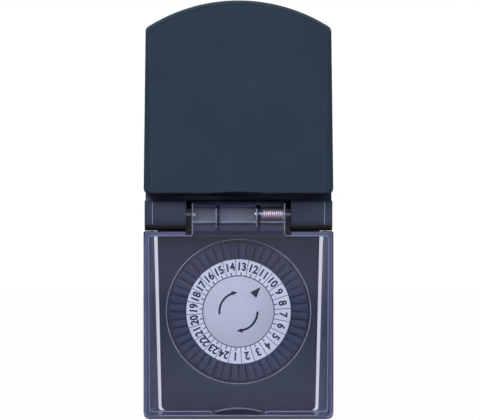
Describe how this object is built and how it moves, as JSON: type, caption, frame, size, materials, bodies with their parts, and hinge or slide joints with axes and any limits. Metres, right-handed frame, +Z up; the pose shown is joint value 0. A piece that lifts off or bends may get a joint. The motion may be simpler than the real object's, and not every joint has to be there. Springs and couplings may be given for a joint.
{
  "type": "outdoor segment timer",
  "caption": "Plug-in 24-hour timer for a garden pump: wall plug behind, covered socket above, dial with pressed tappets under a smoked clear lid.",
  "frame": {"origin": "centre of the plug's face, between its two pins", "axes": "+Y into the wall along the pins, +Z up, +X to the right seen from the front"},
  "size_m": [0.075, 0.086, 0.165],
  "materials": {
    "shell_plastic": "moulded, satin",
    "cover_plastic": "moulded, satin",
    "insert_plastic": "moulded, satin",
    "black_rubber": "matte",
    "zinc_screw": "zinc plated",
    "nickel_pin": "nickel plated",
    "brass_strip": "bright",
    "copper_bar": "bright",
    "steel_plate": "zinc plated",
    "motor_steel": "plain",
    "coil_wire": "enamelled wire",
    "rotor_magnet": "sintered",
    "gear_plastic": "natural",
    "dial_plastic": "moulded, printed",
    "disc_plastic": "moulded, printed",
    "tappet_plastic": "moulded",
    "smoked_clear": "smoked, clear",
    "spring_steel": "drawn wire"
  },
  "bodies": {
    "housing": {"rear_shell": "shell_plastic", "front_shell": "shell_plastic", "shell_gasket": "black_rubber", "shell_screws": "zinc_screw", "plug_base": "insert_plastic", "line_pin": "nickel_pin", "neutral_pin": "nickel_pin", "plug_earth_strip": "brass_strip", "socket_well": "insert_plastic", "socket_earth_clips": "brass_strip", "line_contact": "brass_strip", "neutral_contact": "brass_strip", "line_feed_bar": "copper_bar", "line_switched_bar": "copper_bar", "neutral_bar": "copper_bar", "movement_plate": "steel_plate", "movement_screws": "zinc_screw", "dial_post": "steel_plate", "pointer_disc": "disc_plastic", "wheel_axle": "nickel_pin", "lever_pin": "nickel_pin", "motor_can": "motor_steel", "motor_coil": "coil_wire", "lid_spring": "spring_steel", "lid_pin_left": "nickel_pin", "lid_pin_right": "nickel_pin", "flap_pin": "nickel_pin", "flap_spring": "spring_steel"},
    "lid": {"timer_lid": "smoked_clear"},
    "flap": {"socket_flap": "cover_plastic", "flap_gasket": "black_rubber"},
    "dial": {"dial": "dial_plastic"},
    "drive_wheel": {"drive_wheel": "gear_plastic"},
    "output_pinion": {"output_pinion": "gear_plastic"},
    "motor_rotor": {"motor_rotor": "rotor_magnet"},
    "switch": {"switch_lever": "gear_plastic", "contact_blade": "brass_strip"},
    "tappets_01": {"tappets_01": "tappet_plastic"},
    "tappets_02": {"tappets_02": "tappet_plastic"},
    "tappets_03": {"tappets_03": "tappet_plastic"},
    "tappets_04": {"tappets_04": "tappet_plastic"},
    "tappets_05": {"tappets_05": "tappet_plastic"},
    "tappets_06": {"tappets_06": "tappet_plastic"},
    "tappets_07": {"tappets_07": "tappet_plastic"},
    "tappets_08": {"tappets_08": "tappet_plastic"},
    "tappets_09": {"tappets_09": "tappet_plastic"},
    "tappets_10": {"tappets_10": "tappet_plastic"},
    "tappets_11": {"tappets_11": "tappet_plastic"},
    "tappets_12": {"tappets_12": "tappet_plastic"}
  },
  "joints": [
    {"name": "lid_hinge", "type": "hinge", "parent": "housing", "child": "lid", "pos_m": [0, -0.0565, -0.0393], "axis": [-1, 0, 0], "range_deg": [0, 95], "stiffness_Nm_per_rad": 0.002, "springref_deg": -34.38},
    {"name": "flap_hinge", "type": "hinge", "parent": "housing", "child": "flap", "pos_m": [0, -0.06, 0.038], "axis": [-1, 0, 0], "range_deg": [0, 100], "stiffness_Nm_per_rad": 0.002, "springref_deg": -34.38},
    {"name": "dial_turn", "type": "hinge", "parent": "housing", "child": "dial", "pos_m": [0, -0.05, -0.0778], "axis": [0, 1, 0], "continuous": true},
    {"name": "drive_wheel_turn", "type": "hinge", "parent": "housing", "child": "drive_wheel", "pos_m": [-0.012, -0.047, -0.09859], "axis": [0, 1, 0], "continuous": true},
    {"name": "output_pinion_turn", "type": "hinge", "parent": "housing", "child": "output_pinion", "pos_m": [-0.00637, -0.045, -0.08884], "axis": [0, 1, 0], "continuous": true},
    {"name": "rotor_turn", "type": "hinge", "parent": "housing", "child": "motor_rotor", "pos_m": [0, -0.035, -0.0778], "axis": [0, 1, 0], "continuous": true},
    {"name": "switch_lever_rock", "type": "hinge", "parent": "housing", "child": "switch", "pos_m": [0.024, -0.0461, -0.0638], "axis": [1, 0, 0], "range_deg": [0, 8], "stiffness_Nm_per_rad": 0.002},
    {"name": "tappets_01_press", "type": "slide", "parent": "dial", "child": "tappets_01", "axis": [0, 1, 0], "range_m": [0, 0.0018]},
    {"name": "tappets_02_press", "type": "slide", "parent": "dial", "child": "tappets_02", "axis": [0, 1, 0], "range_m": [0, 0.0018]},
    {"name": "tappets_03_press", "type": "slide", "parent": "dial", "child": "tappets_03", "axis": [0, 1, 0], "range_m": [0, 0.0018]},
    {"name": "tappets_04_press", "type": "slide", "parent": "dial", "child": "tappets_04", "axis": [0, 1, 0], "range_m": [0, 0.0018]},
    {"name": "tappets_05_press", "type": "slide", "parent": "dial", "child": "tappets_05", "axis": [0, 1, 0], "range_m": [0, 0.0018]},
    {"name": "tappets_06_press", "type": "slide", "parent": "dial", "child": "tappets_06", "axis": [0, 1, 0], "range_m": [0, 0.0018]},
    {"name": "tappets_07_press", "type": "slide", "parent": "dial", "child": "tappets_07", "axis": [0, 1, 0], "range_m": [0, 0.0018]},
    {"name": "tappets_08_press", "type": "slide", "parent": "dial", "child": "tappets_08", "axis": [0, 1, 0], "range_m": [0, 0.0018]},
    {"name": "tappets_09_press", "type": "slide", "parent": "dial", "child": "tappets_09", "axis": [0, 1, 0], "range_m": [0, 0.0018]},
    {"name": "tappets_10_press", "type": "slide", "parent": "dial", "child": "tappets_10", "axis": [0, 1, 0], "range_m": [0, 0.0018]},
    {"name": "tappets_11_press", "type": "slide", "parent": "dial", "child": "tappets_11", "axis": [0, 1, 0], "range_m": [0, 0.0018]},
    {"name": "tappets_12_press", "type": "slide", "parent": "dial", "child": "tappets_12", "axis": [0, 1, 0], "range_m": [0, 0.0018]}
  ],
  "couplings": [
    {"joint": "drive_wheel_turn", "follows": "dial_turn", "ratio": -5},
    {"joint": "output_pinion_turn", "follows": "dial_turn", "ratio": 20}
  ]
}
